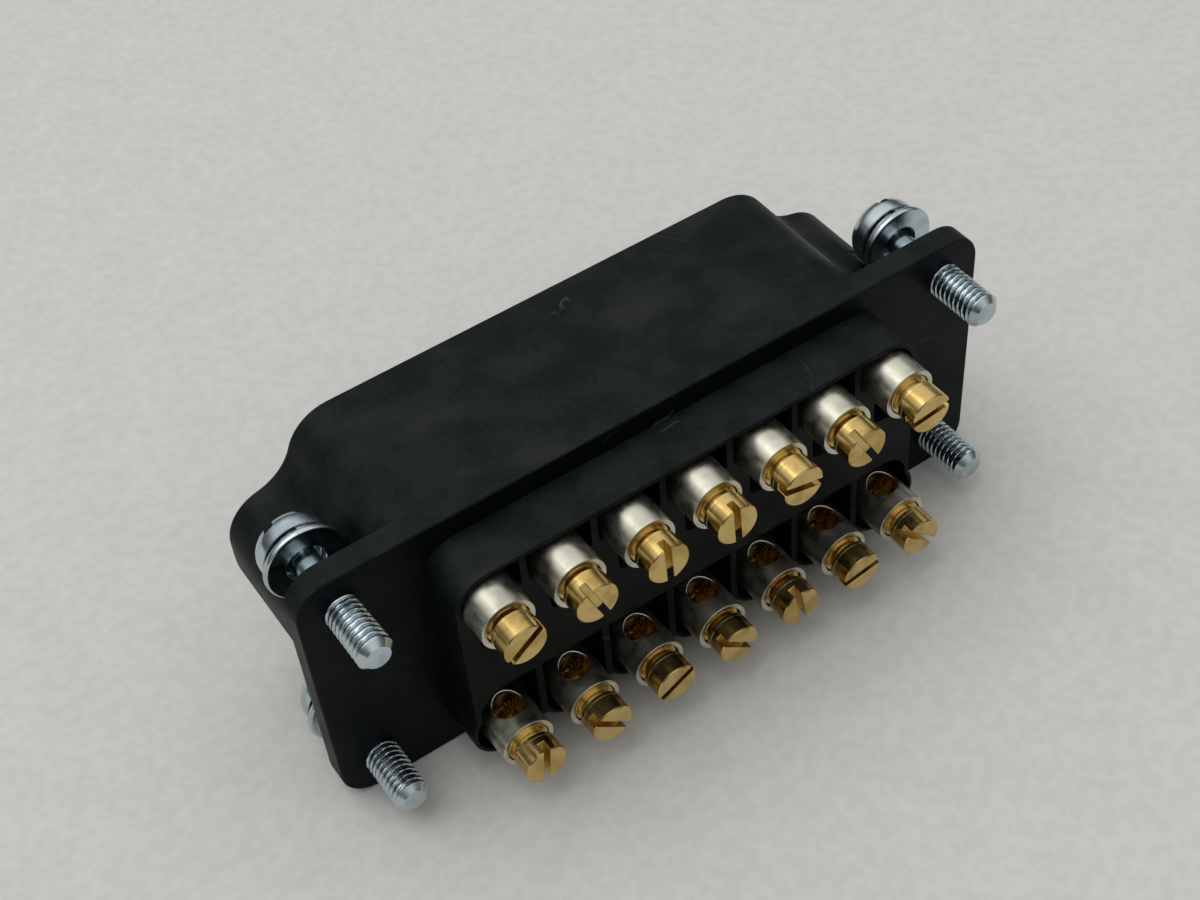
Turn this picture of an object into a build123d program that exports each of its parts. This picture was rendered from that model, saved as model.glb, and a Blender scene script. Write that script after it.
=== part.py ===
from build123d import *

from math import atan2, degrees, hypot, sqrt
import os

# Heavy-duty connector insert with fourteen poles in two rows of seven and axial screw terminals.
# Millimetres. X runs along the row of poles, +Y is the mating direction and +Z is up.
# The origin is the centre of the flange's rear face, in the middle of the four mounting screws.
# The wires and the terminal screws are on the -Y side, the hollow shroud with the pins on the +Y side.

# Pattern of the poles
pole_pitch = 8.3
poles_per_row = 7
row_spacing = 20.0

# Mounting flange, and its four screws beyond the end poles and outside the rows
screw_beyond_end_pole = 12.6
screw_outside_row = 2.25
flange_edge = 4.75
flange_thickness = 2.8
flange_corner = 4.0
flange_edge_round = 0.3

# Terminal block behind the flange
block_depth = 6.1
block_end_margin = 3.75
block_top_margin = 4.15
block_corner = 3.9
block_edge_round = 0.25
block_wall = 0.5
collar_radius = 4.5
collar_valley_round = 0.6
rib_thickness = 0.8
pocket_depth = 3.0
upper_pocket_below_axis = 0.2
lower_pocket_above_axis = 6.2
lower_pocket_corner = 0.8
groove_length = 6.4
groove_depth = 2.2
groove_corner = 0.9

# Shroud: a rounded box round the pins with a lobe on each side, moved a little towards -X
shroud_shift = -1.6
shroud_length = 18.6
shroud_wall = 2.2
shroud_end_margin = 5.96
shroud_corner = 5.76
shroud_rim_round = 0.5
throat_radius = 6.0
lobe_reach = 8.3
lobe_below_top = 7.2
lobe_corner = 5.35
lobe_lower_radius = 9.5
lobe_lower_centre = 2.0
lobe_foot_radius = 3.0
floor_thickness = 1.6

# Contacts
contact_radius = 3.05
contact_stands_out = 3.5
contact_rim_chamfer = 0.15
shoulder_inside_flange = 0.9
bore_radius = 2.5
bore_depth = 5.4
wire_hole_radius = 1.75
wire_hole_from_rim = 3.5
pin_radius = 1.5
pin_below_rim = 5.0
pin_tip_round = 0.9
seat_clearance = 0.03

# Terminal screws
terminal_clearance = 0.08
terminal_neck_radius = 1.9
terminal_neck_length = 0.9
terminal_head_length = 2.6
terminal_thread_length = 1.5
terminal_slot_width = 0.8
terminal_slot_depth = 1.3
terminal_edge = 0.12

# Mounting screws and the washers held under their heads
thread_radius = 2.0
thread_length = 7.0
thread_chamfer = 0.65
thread_clearance = 0.05
shank_radius = 1.5
shank_clearance = 0.15
head_stands_off = 6.15
head_radius = 4.0
head_height = 3.0
head_round = 2.0
head_slot_width = 1.2
head_slot_depth = 1.5
spring_washer_radius = 3.8
spring_washer_bore = 2.05
spring_washer_thickness = 0.9
spring_washer_gap = 0.7
flat_washer_radius = 4.5
flat_washer_bore = 2.15
flat_washer_thickness = 0.8
recess_clearance = 0.2
recess_beyond_washers = 0.3
recess_beyond_head = 0.5

# How far the blade that cuts a slot reaches past the edge of the head
slot_overrun = 1.0

# How each terminal screw was left standing: slot angle in degrees from +X, and height of its face over
# the contact's rim, from -X to +X
upper_screws_left = [(37, 3.1), (112, 3.1), (92, 3.3), (92, 3.4), (166, 3.4), (118, 3.2), (7, 3.5)]
lower_screws_left = [(84, 3.5), (139, 3.4), (28, 3.2), (141, 3.1), (100, 3.1), (9, 3.3), (136, 3.4)]

# Slot angles of the four mounting screws, in degrees from +X
mounting_slots = [118, 30, 84, 150]

# Places that follow from the sizes above
end_pole = pole_pitch * (poles_per_row - 1) / 2
row_height = row_spacing / 2
screw_x = end_pole + screw_beyond_end_pole
screw_z = row_height + screw_outside_row
flange_half_length = screw_x + flange_edge
flange_half_height = screw_z + flange_edge
block_half_width = end_pole + block_end_margin
block_top = row_height + block_top_margin
rim = flange_thickness + shroud_length
cavity_floor = flange_thickness + floor_thickness
contact_rim = -block_depth - contact_stands_out
contact_shoulder = flange_thickness - shoulder_inside_flange
pin_end = rim - pin_below_rim
wire_hole_y = contact_rim + wire_hole_from_rim
terminal_radius = bore_radius - terminal_clearance
head_seat = flange_thickness + head_stands_off
recess_radius = flat_washer_radius + recess_clearance
washer_recess_end = head_seat + recess_beyond_washers
head_recess_radius = head_radius + recess_clearance
head_recess_end = head_seat + head_height + recess_beyond_head


def across(y):
    """Plane square to the mating direction at y, seen from the wiring side: its own x and y are X and Z."""
    return Plane(origin=(0, y, 0), x_dir=(1, 0, 0), z_dir=(0, -1, 0))


def at_pole(x, z):
    """Plane through the axis at (x, z), whose own x is the radius and whose own y is Y."""
    return Plane(origin=(x, 0, z), x_dir=(1, 0, 0), z_dir=(0, 0, 1))


def along_y(x, z):
    """The line through (x, z) in the mating direction."""
    return Axis((x, 0, z), (0, 1, 0))


def angle_from(centre, point):
    """Direction from a centre to a point, in degrees."""
    return degrees(atan2(point[1] - centre[1], point[0] - centre[0]))


def touching_centre(centre_a, radius_a, centre_b, radius_b, radius, side):
    """Centre of the circle that touches two circles from outside, on the right (-1) or left (1) of a to b."""
    gap = hypot(centre_b[0] - centre_a[0], centre_b[1] - centre_a[1])
    from_a = radius_a + radius
    from_b = radius_b + radius
    along = (gap**2 + from_a**2 - from_b**2) / (2 * gap)
    aside = side * sqrt(from_a**2 - along**2)
    unit = ((centre_b[0] - centre_a[0]) / gap, (centre_b[1] - centre_a[1]) / gap)
    return (centre_a[0] + along * unit[0] - aside * unit[1], centre_a[1] + along * unit[1] + aside * unit[0])


def shroud_outline(inset):
    """The lobed outline of the shroud, moved inwards by inset, about its own centre line."""
    side = end_pole + shroud_end_margin
    corner = (side - shroud_corner, flange_half_height - shroud_corner)
    lobe = (side + lobe_reach - lobe_corner, flange_half_height - lobe_below_top - lobe_corner)
    lower = (side + lobe_reach - lobe_lower_radius, lobe_lower_centre)
    throat = touching_centre(corner, shroud_corner, lobe, lobe_corner, throat_radius, 1)
    foot_reach = lobe_lower_radius + lobe_foot_radius
    foot_x = side + lobe_foot_radius
    foot = (foot_x, lower[1] - sqrt(foot_reach**2 - (foot_x - lower[0]) ** 2))
    throat_start = angle_from(corner, throat)
    throat_end = angle_from(lobe, throat)
    foot_angle = angle_from(lower, foot)
    top = flange_half_height - inset
    upwards = 90
    half_turn = 180
    with BuildSketch() as outline:
        with BuildLine():
            Line((0, top), (corner[0], top))
            CenterArc(corner, shroud_corner - inset, upwards, throat_start - upwards)
            CenterArc(throat, throat_radius + inset, throat_start + half_turn, throat_end - throat_start)
            CenterArc(lobe, lobe_corner - inset, throat_end, -throat_end)
            Line((side + lobe_reach - inset, lobe[1]), (side + lobe_reach - inset, lower[1]))
            CenterArc(lower, lobe_lower_radius - inset, 0, foot_angle)
            CenterArc(foot, lobe_foot_radius + inset, foot_angle + half_turn, -foot_angle)
            Line((side - inset, foot[1]), (side - inset, -corner[1]))
            CenterArc((corner[0], -corner[1]), shroud_corner - inset, 0, -upwards)
            Line((corner[0], -top), (0, -top))
            mirror(about=Plane.YZ)
        make_face()
    return outline.sketch


def save(piece, name):
    """Labels a finished piece and writes it under its name."""
    piece.part.label = name
    export_step(piece.part, f"parts/{name}.step")


os.makedirs("parts", exist_ok=True)

upper_poles = [(end_pole - pole_pitch * (poles_per_row - 1 - i), row_height) for i in range(poles_per_row)]
lower_poles = [(x, -row_height) for x, z in upper_poles]
poles = upper_poles + lower_poles
rib_places = [x + pole_pitch / 2 for x, z in upper_poles[:-1]]
screw_places = [(-screw_x, screw_z), (-screw_x, -screw_z), (screw_x, screw_z), (screw_x, -screw_z)]
pocket_half_width = block_half_width - block_wall

# Insulator: one moulding with the flange, the terminal block and the shroud
with BuildPart() as insulator:
    # Flange
    with BuildSketch(across(flange_thickness)):
        RectangleRounded(2 * flange_half_length, 2 * flange_half_height, flange_corner)
    extrude(amount=flange_thickness)
    fillet(edges().group_by(Axis.Y)[0], flange_edge_round)

    # Terminal block, scalloped round the lower poles
    with BuildSketch(across(0)):
        with Locations((0, (block_top - row_height) / 2)):
            Rectangle(2 * block_half_width, block_top + row_height)
        top_corners = vertices().group_by(Axis.Y)[-1]
        fillet(top_corners, block_corner)
        with Locations(*lower_poles):
            Circle(collar_radius)
        valleys = [v for v in vertices() if v.Y < -row_height and abs(v.X) < end_pole]
        fillet(valleys, collar_valley_round)
    extrude(amount=block_depth)
    fillet(edges().group_by(Axis.Y)[0], block_edge_round)

    # Shroud with a stepped recess beside each mounting screw for its washers and its head
    with BuildSketch(across(rim)):
        with Locations((shroud_shift, 0)):
            add(shroud_outline(0))
    extrude(amount=shroud_length)
    fillet(edges().group_by(Axis.Y)[-1], shroud_rim_round)
    with BuildSketch(across(washer_recess_end)):
        with Locations(*screw_places):
            Circle(recess_radius)
    extrude(amount=washer_recess_end - flange_thickness, mode=Mode.SUBTRACT)
    with BuildSketch(across(head_recess_end)):
        with Locations(*screw_places):
            Circle(head_recess_radius)
    extrude(amount=head_recess_end - flange_thickness, mode=Mode.SUBTRACT)

    # Cavity of the shroud, whose wall goes round the recesses
    with BuildSketch(across(rim)):
        with Locations((shroud_shift, 0)):
            add(shroud_outline(shroud_wall))
        with Locations(*screw_places):
            Circle(recess_radius + shroud_wall, mode=Mode.SUBTRACT)
    extrude(amount=rim - cavity_floor, mode=Mode.SUBTRACT)

    # Pockets round the wire holes, with a thin rib between neighbours
    with BuildSketch(across(-block_depth)):
        pocket_floor = row_height - upper_pocket_below_axis
        pocket_top = block_top - block_wall
        with Locations((0, (pocket_floor + pocket_top) / 2)):
            Rectangle(2 * pocket_half_width, pocket_top - pocket_floor)
        fillet(vertices().group_by(Axis.Y)[-1], block_corner - block_wall)
        with Locations(*[(x, row_height) for x in rib_places]):
            Rectangle(rib_thickness, row_spacing, mode=Mode.SUBTRACT)
    extrude(amount=-pocket_depth, mode=Mode.SUBTRACT)
    with BuildSketch(across(-block_depth)):
        with Locations((0, -row_height + lower_pocket_above_axis / 2)):
            Rectangle(2 * pocket_half_width, lower_pocket_above_axis)
        fillet(vertices().group_by(Axis.Y)[-1], block_corner - block_wall)
        with Locations(*lower_poles):
            Circle(collar_radius - block_wall)
        with Locations(*[(x, -row_height) for x in rib_places]):
            Rectangle(rib_thickness, row_spacing, mode=Mode.SUBTRACT)
    extrude(amount=-pocket_depth, mode=Mode.SUBTRACT)

    # Groove that lets a wire in under each upper contact
    with BuildSketch(across(-block_depth)):
        with Locations(*[(x, row_height - groove_length / 2) for x, z in upper_poles]):
            Rectangle(2 * wire_hole_radius, groove_length)
        fillet(vertices().group_by(Axis.Y)[0], groove_corner)
    extrude(amount=-groove_depth, mode=Mode.SUBTRACT)

    # Seats of the contacts
    with BuildSketch(across(-block_depth)):
        with Locations(*poles):
            Circle(contact_radius + seat_clearance)
    extrude(amount=-(block_depth + contact_shoulder), mode=Mode.SUBTRACT)
    with BuildSketch(across(contact_shoulder)):
        with Locations(*poles):
            Circle(pin_radius + seat_clearance)
    extrude(amount=-(cavity_floor - contact_shoulder), mode=Mode.SUBTRACT)

    # Holes of the mounting screws
    with BuildSketch(across(0)):
        with Locations(*screw_places):
            Circle(shank_radius + shank_clearance)
    extrude(amount=-flange_thickness, mode=Mode.SUBTRACT)
save(insulator, "insulator")


def build_contact(name, x, z):
    """A turned contact: a threaded cup with a wire hole in its side behind the flange, and a pin before it."""
    inwards = -1 if z > 0 else 1
    with BuildPart() as contact:
        with BuildSketch(at_pole(x, z)):
            with BuildLine():
                Polyline(
                    (0, contact_rim + bore_depth),
                    (bore_radius, contact_rim + bore_depth),
                    (bore_radius, contact_rim),
                    (contact_radius - contact_rim_chamfer, contact_rim),
                    (contact_radius, contact_rim + contact_rim_chamfer),
                    (contact_radius, contact_shoulder),
                    (pin_radius, contact_shoulder),
                    (pin_radius, pin_end - pin_tip_round),
                )
                RadiusArc((pin_radius, pin_end - pin_tip_round), (pin_radius - pin_tip_round, pin_end), -pin_tip_round)
                Polyline((pin_radius - pin_tip_round, pin_end), (0, pin_end), (0, contact_rim + bore_depth))
            make_face()
        revolve(axis=along_y(x, z))
        with BuildSketch(Plane(origin=(x, wire_hole_y, z), x_dir=(1, 0, 0), z_dir=(0, 0, inwards))):
            Circle(wire_hole_radius)
        extrude(amount=contact_radius, mode=Mode.SUBTRACT)
    save(contact, name)


def build_terminal_screw(name, x, z, slot_angle, stands_out):
    """A slotted clamping screw: head outside the contact's rim, neck, and the thread that reaches inside."""
    face = contact_rim - stands_out
    neck_start = face + terminal_head_length
    thread_start = neck_start + terminal_neck_length
    thread_end = thread_start + terminal_thread_length
    with BuildPart() as screw:
        with BuildSketch(at_pole(x, z)):
            with BuildLine():
                Polyline(
                    (0, face),
                    (terminal_radius - terminal_edge, face),
                    (terminal_radius, face + terminal_edge),
                    (terminal_radius, neck_start),
                    (terminal_neck_radius, neck_start),
                    (terminal_neck_radius, thread_start),
                    (terminal_radius, thread_start),
                    (terminal_radius, thread_end),
                    (0, thread_end),
                    close=True,
                )
            make_face()
        revolve(axis=along_y(x, z))
        with BuildSketch(across(face)):
            with Locations(Location((x, z), slot_angle)):
                Rectangle(2 * (terminal_radius + slot_overrun), terminal_slot_width)
        extrude(amount=-terminal_slot_depth, mode=Mode.SUBTRACT)
    save(screw, name)


def build_mounting_screw(name, x, z, slot_angle):
    """A captive screw: thread behind the flange, thin shank through it, and a slotted round-edged head."""
    tip = -thread_clearance - thread_length
    head_end = head_seat + head_height
    with BuildPart() as screw:
        with BuildSketch(at_pole(x, z)):
            with BuildLine():
                Polyline(
                    (0, tip),
                    (thread_radius - thread_chamfer, tip),
                    (thread_radius, tip + thread_chamfer),
                    (thread_radius, -thread_clearance),
                    (shank_radius, -thread_clearance),
                    (shank_radius, head_seat),
                    (head_radius, head_seat),
                    (head_radius, head_end - head_round),
                )
                RadiusArc((head_radius, head_end - head_round), (head_radius - head_round, head_end), -head_round)
                Polyline((head_radius - head_round, head_end), (0, head_end), (0, tip))
            make_face()
        revolve(axis=along_y(x, z))
        with BuildSketch(across(head_end)):
            with Locations(Location((x, z), slot_angle)):
                Rectangle(2 * (head_radius + slot_overrun), head_slot_width)
        extrude(amount=head_slot_depth, mode=Mode.SUBTRACT)
    save(screw, name)


def build_spring_washer(name, x, z):
    """A split ring of square section under the head, with its gap at the top."""
    with BuildPart() as washer:
        with BuildSketch(across(head_seat)):
            with Locations((x, z)):
                Circle(spring_washer_radius)
                Circle(spring_washer_bore, mode=Mode.SUBTRACT)
            with Locations((x, z + spring_washer_radius / 2)):
                Rectangle(spring_washer_gap, spring_washer_radius, mode=Mode.SUBTRACT)
        extrude(amount=spring_washer_thickness)
    save(washer, name)


def build_flat_washer(name, x, z):
    """A plain ring behind the spring washer."""
    with BuildPart() as washer:
        with BuildSketch(across(head_seat - spring_washer_thickness)):
            with Locations((x, z)):
                Circle(flat_washer_radius)
                Circle(flat_washer_bore, mode=Mode.SUBTRACT)
        extrude(amount=flat_washer_thickness)
    save(washer, name)


screws_left = upper_screws_left + lower_screws_left
for number, ((x, z), (slot_angle, stands_out)) in enumerate(zip(poles, screws_left), start=1):
    build_contact(f"contact_{number:02d}", x, z)
    build_terminal_screw(f"terminal_screw_{number:02d}", x, z, slot_angle, stands_out)

for number, ((x, z), slot_angle) in enumerate(zip(screw_places, mounting_slots), start=1):
    build_mounting_screw(f"mounting_screw_{number}", x, z, slot_angle)
    build_spring_washer(f"spring_washer_{number}", x, z)
    build_flat_washer(f"flat_washer_{number}", x, z)
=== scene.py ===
"""Looks of a fourteen-pole connector insert with screw terminals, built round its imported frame.

The frame holds every piece at its real size and place. The moulding keeps the form that it has there and
gets softened edges. The contacts, screws and washers are modelled again with their threads, slots and rounded
edges, each kind once, in millimetres about its own axis, and a copy of the mesh is put on each node's axis.
"""

import logging
import math
from collections.abc import Iterator, Sequence
from contextlib import contextmanager
from dataclasses import dataclass, field
from enum import Enum, IntEnum

import bmesh
import bpy
import numpy as np
from mathutils import Matrix, Vector

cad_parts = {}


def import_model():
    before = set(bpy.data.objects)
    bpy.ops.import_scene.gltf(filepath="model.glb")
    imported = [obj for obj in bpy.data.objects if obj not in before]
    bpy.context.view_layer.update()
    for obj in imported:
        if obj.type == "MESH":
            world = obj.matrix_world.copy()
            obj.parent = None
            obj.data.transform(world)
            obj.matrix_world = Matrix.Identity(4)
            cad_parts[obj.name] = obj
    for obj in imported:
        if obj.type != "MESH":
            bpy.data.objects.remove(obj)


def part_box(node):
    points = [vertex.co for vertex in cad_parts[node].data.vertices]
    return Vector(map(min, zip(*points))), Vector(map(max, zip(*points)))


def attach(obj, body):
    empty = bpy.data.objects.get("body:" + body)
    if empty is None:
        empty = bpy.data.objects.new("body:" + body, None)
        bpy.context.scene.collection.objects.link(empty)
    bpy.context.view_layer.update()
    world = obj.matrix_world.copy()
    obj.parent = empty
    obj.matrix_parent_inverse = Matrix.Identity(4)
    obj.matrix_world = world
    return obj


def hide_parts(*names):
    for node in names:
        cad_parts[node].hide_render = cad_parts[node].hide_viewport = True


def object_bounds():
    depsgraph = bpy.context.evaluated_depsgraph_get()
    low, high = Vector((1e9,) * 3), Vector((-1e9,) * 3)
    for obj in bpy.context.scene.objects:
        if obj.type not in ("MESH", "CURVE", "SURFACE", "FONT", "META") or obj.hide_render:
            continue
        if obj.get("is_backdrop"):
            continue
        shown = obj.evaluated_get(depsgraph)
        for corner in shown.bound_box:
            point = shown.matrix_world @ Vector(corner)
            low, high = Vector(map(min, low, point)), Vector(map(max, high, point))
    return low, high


log = logging.getLogger("connector_insert")

MILLIMETRE = 0.001
OWN_PLACE = "own_place"
GROOVE = "groove"
CUSTOM_NORMAL = "custom_normal"
SMOOTH_UNDER = math.radians(32)
SLOT_EDGES_OVER = math.radians(65)
WELD_DISTANCE = 1e-5
# Lays a piece that was turned about Z along Y, so that its -Y looks up.
LAY_DOWN = Matrix(((1, 0, 0, 0), (0, 0, 1, 0), (0, -1, 0, 0), (0, 0, 0, 1)))

Socket = bpy.types.NodeSocket
Ring = tuple[float, float]
Span = tuple[float, float]
Colour = tuple[float, float, float]


class Slot(Enum):
    """The record's material slots."""

    MOULDING = "moulding"
    PLATING = "contact_plating"
    BRASS = "screw_brass"
    ZINC = "zinc_plating"


class Pattern(Enum):
    """Where a finish reads its place from."""

    OBJECT = "object"
    OWN = "own"


class ContactSlot(IntEnum):
    """The material slots of a contact, so that the wall of the wire hole can be told from the outside."""

    OUTSIDE = 0
    BORE = 1
    HOLE_WALL = 2


def rgba(colour: Colour) -> tuple[float, float, float, float]:
    """Gives a colour its full alpha."""
    return (*colour, 1.0)


class NodeSheet:
    """The nodes of one material, with short calls for those that the finishes share."""

    def __init__(self, name: str) -> None:
        """Starts a material that holds a shader and its output.

        Args:
            name: The material's name.
        """
        self.material = bpy.data.materials.new(name)
        self.material.use_nodes = True
        self.tree = self.material.node_tree
        self.shader = self.tree.nodes["Principled BSDF"]

    def add(self, kind: str, **settings: object) -> bpy.types.Node:
        """Adds a node.

        Args:
            kind: Blender's name of the node's type, without its prefix.
            **settings: Properties of the node.

        Returns:
            The new node.
        """
        node = self.tree.nodes.new(f"ShaderNode{kind}")
        for name, value in settings.items():
            setattr(node, name, value)
        return node

    def join(self, source: Socket | Colour | float, target: Socket) -> None:
        """Links one socket to another, or sets the other to a plain value.

        Args:
            source: A socket, a colour or a number.
            target: The socket that gets it.
        """
        if isinstance(source, Socket):
            self.tree.links.new(source, target)
        else:
            target.default_value = source if isinstance(source, float) else rgba(source)

    def place(self, pattern: Pattern) -> Socket:
        """Gives the place that a pattern follows.

        Args:
            pattern: Object for metres in the part's frame, own for millimetres about a piece's own axis.

        Returns:
            A vector socket.
        """
        if pattern is Pattern.OBJECT:
            return self.add("TexCoord").outputs["Object"]
        return self.add("Attribute", attribute_name=OWN_PLACE).outputs["Vector"]

    def stretched(self, place: Socket, scale: Sequence[float], turn: float = 0.0) -> Socket:
        """Scales a place unevenly, for marks that run one way.

        Args:
            place: The place to change.
            scale: Factors along X, Y and Z.
            turn: Turn about Z in degrees, made last.

        Returns:
            The changed place.
        """
        mapping = self.add("Mapping")
        mapping.inputs["Scale"].default_value = scale
        mapping.inputs["Rotation"].default_value = (0, 0, math.radians(turn))
        self.join(place, mapping.inputs["Vector"])
        return mapping.outputs["Vector"]

    def noise(self, place: Socket, scale: float, detail: float = 3.0) -> Socket:
        """Gives a soft random value from 0 to 1.

        Args:
            place: The place that it follows.
            scale: Waves in one unit of that place.
            detail: How many finer layers it has.

        Returns:
            The value.
        """
        noise = self.add("TexNoise")
        noise.inputs["Scale"].default_value = scale
        noise.inputs["Detail"].default_value = detail
        self.join(place, noise.inputs["Vector"])
        return noise.outputs["Fac"]

    def span(self, value: Socket, limits: Span, to: Span = (0.0, 1.0)) -> Socket:
        """Stretches the values between two limits to another pair, and holds those outside.

        Args:
            value: The value to change.
            limits: Lower and upper limit.
            to: What the two limits become.

        Returns:
            The changed value.
        """
        node = self.add("MapRange", interpolation_type="SMOOTHSTEP")
        for name, number in zip(("From Min", "From Max", "To Min", "To Max"), (*limits, *to)):
            node.inputs[name].default_value = number
        self.join(value, node.inputs["Value"])
        return node.outputs["Result"]

    def blend(self, share: Socket | float, first: Colour | Socket, second: Colour | Socket) -> Socket:
        """Mixes two colours.

        Args:
            share: How much of the second there is.
            first: The colour at 0.
            second: The colour at 1.

        Returns:
            The mixed colour.
        """
        mix = self.add("Mix", data_type="RGBA")
        for number, value in ((0, share), (6, first), (7, second)):
            self.join(value, mix.inputs[number])
        return mix.outputs[2]

    def maths(self, operation: str, first: Socket, second: Socket | float) -> Socket:
        """Combines two values by one operation of the Math node.

        Args:
            operation: Blender's name of the operation.
            first: The first value.
            second: The second value.

        Returns:
            The result.
        """
        node = self.add("Math", operation=operation)
        self.join(first, node.inputs[0])
        self.join(second, node.inputs[1])
        return node.outputs["Value"]

    def relief(self, height: Socket, depth: float) -> Socket:
        """Turns a height from 0 to 1 into bump.

        Args:
            height: The height.
            depth: What a height of 1 measures, in metres.

        Returns:
            The bumped normal.
        """
        bump = self.add("Bump")
        bump.inputs["Distance"].default_value = depth
        self.join(height, bump.inputs["Height"])
        return bump.outputs["Normal"]


@dataclass(frozen=True)
class MouldingFinish:
    """Charcoal moulding, paler where it faces up as painted light and smudged there, with grain, hair lines
    and specks of dust.
    """

    dark: Colour = (0.0014, 0.0028, 0.0036)
    light: Colour = (0.0028, 0.0046, 0.0054)
    # Paler colours for the faces that look up: painted light from above.
    lit_top_dark: Colour = (0.0038, 0.0066, 0.0076)
    lit_top_light: Colour = (0.0098, 0.0132, 0.0138)
    smudge: Colour = (0.0170, 0.0192, 0.0182)
    hair: Colour = (0.070, 0.074, 0.072)
    dust: Colour = (0.16, 0.16, 0.15)
    specular: float = 0.09
    facing_up: Span = (0.1, 0.9)
    grain_waves: float = 2600.0
    grain_depth: float = 0.000014
    grain_limits: Span = (0.2, 0.8)
    grain_speckle: Span = (-0.1, 0.1)
    mottle_waves: float = 210.0
    mottle_limits: Span = (0.36, 0.66)
    smudge_waves: float = 75.0
    smudge_stretch: tuple[float, float, float] = (1.0, 1.7, 1.0)
    smudge_turn: float = 25.0
    smudge_limits: Span = (0.50, 0.72)
    gloss_waves: float = 160.0
    gloss_limits: Span = (0.3, 0.7)
    roughness: Span = (0.40, 0.54)
    hair_waves: float = 70.0
    hair_middle: float = 0.5
    hair_width: float = 0.0022
    hair_core: float = 0.3
    hair_strength: float = 0.55
    stretch_waves: float = 240.0
    stretch_limits: Span = (0.60, 0.68)
    region_waves: float = 50.0
    region_limits: Span = (0.50, 0.56)
    dust_waves: float = 230.0
    dust_radius: Span = (0.030, 0.050)
    dusty_waves: float = 90.0
    dusty_limits: Span = (0.56, 0.60)

    def build(self) -> bpy.types.Material:
        """Lays out the material.

        Returns:
            The finished material.
        """
        sheet = NodeSheet("charcoal_moulding")
        place = sheet.place(Pattern.OBJECT)
        grain = sheet.noise(place, self.grain_waves, detail=2.0)
        colour = self._mottled_lit_top(sheet, place, grain)
        colour = sheet.blend(self._hairs(sheet, place), colour, self.hair)
        colour = sheet.blend(self._dust(sheet, place), colour, self.dust)
        sheet.join(colour, sheet.shader.inputs["Base Color"])
        gloss = sheet.noise(place, self.gloss_waves, detail=4.0)
        sheet.join(sheet.span(gloss, self.gloss_limits, self.roughness), sheet.shader.inputs["Roughness"])
        sheet.join(sheet.relief(grain, self.grain_depth), sheet.shader.inputs["Normal"])
        sheet.shader.inputs["Specular IOR Level"].default_value = self.specular
        return sheet.material

    def _mottled_lit_top(self, sheet: NodeSheet, place: Socket, grain: Socket) -> Socket:
        """Gives the mottled colour of the moulding, paler on the faces that look up as painted light, and
        smudged there.

        Args:
            sheet: The material's nodes.
            place: The place that the pattern follows.
            grain: The fine grain, which speckles the mottling.

        Returns:
            The colour.
        """
        speckle = sheet.span(grain, self.grain_limits, self.grain_speckle)
        mottle = sheet.maths("ADD", sheet.noise(place, self.mottle_waves, detail=9.0), speckle)
        mottle = sheet.span(mottle, self.mottle_limits)
        bare = sheet.blend(mottle, self.dark, self.light)
        # Painted light: the mottling again in paler colours, for the faces that look up.
        lit_top = sheet.blend(mottle, self.lit_top_dark, self.lit_top_light)
        wiped = sheet.stretched(place, self.smudge_stretch, self.smudge_turn)
        smudges = sheet.span(sheet.noise(wiped, self.smudge_waves, detail=7.0), self.smudge_limits)
        lit_top = sheet.blend(smudges, lit_top, self.smudge)
        # Faces that look up get the painted light.
        facing = sheet.add("SeparateXYZ")
        sheet.join(sheet.add("NewGeometry").outputs["Normal"], facing.inputs["Vector"])
        return sheet.blend(sheet.span(facing.outputs["Z"], self.facing_up), bare, lit_top)

    def _hairs(self, sheet: NodeSheet, place: Socket) -> Socket:
        """Gives the share of hair lines: thin and curved, broken into short stretches that lie far apart.

        Args:
            sheet: The material's nodes.
            place: The place that the pattern follows.

        Returns:
            The share, from 0 to 1.
        """
        contour = sheet.maths("SUBTRACT", sheet.noise(place, self.hair_waves, detail=1.5), self.hair_middle)
        away = sheet.maths("ABSOLUTE", contour, 0.0)
        core = (self.hair_core * self.hair_width, self.hair_width)
        line = sheet.span(away, core, (self.hair_strength, 0.0))
        stretches = sheet.span(sheet.noise(place, self.stretch_waves, detail=0.0), self.stretch_limits)
        regions = sheet.span(sheet.noise(place, self.region_waves, detail=0.0), self.region_limits)
        return sheet.maths("MULTIPLY", line, sheet.maths("MULTIPLY", stretches, regions))

    def _dust(self, sheet: NodeSheet, place: Socket) -> Socket:
        """Gives the share of dust: small round specks in some of the cells only.

        Args:
            sheet: The material's nodes.
            place: The place that the pattern follows.

        Returns:
            The share, from 0 to 1.
        """
        cells = sheet.add("TexVoronoi")
        cells.inputs["Scale"].default_value = self.dust_waves
        sheet.join(place, cells.inputs["Vector"])
        speck = sheet.span(cells.outputs["Distance"], self.dust_radius, (1.0, 0.0))
        dusty = sheet.span(sheet.noise(place, self.dusty_waves, detail=0.0), self.dusty_limits)
        return sheet.maths("MULTIPLY", speck, dusty)


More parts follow.
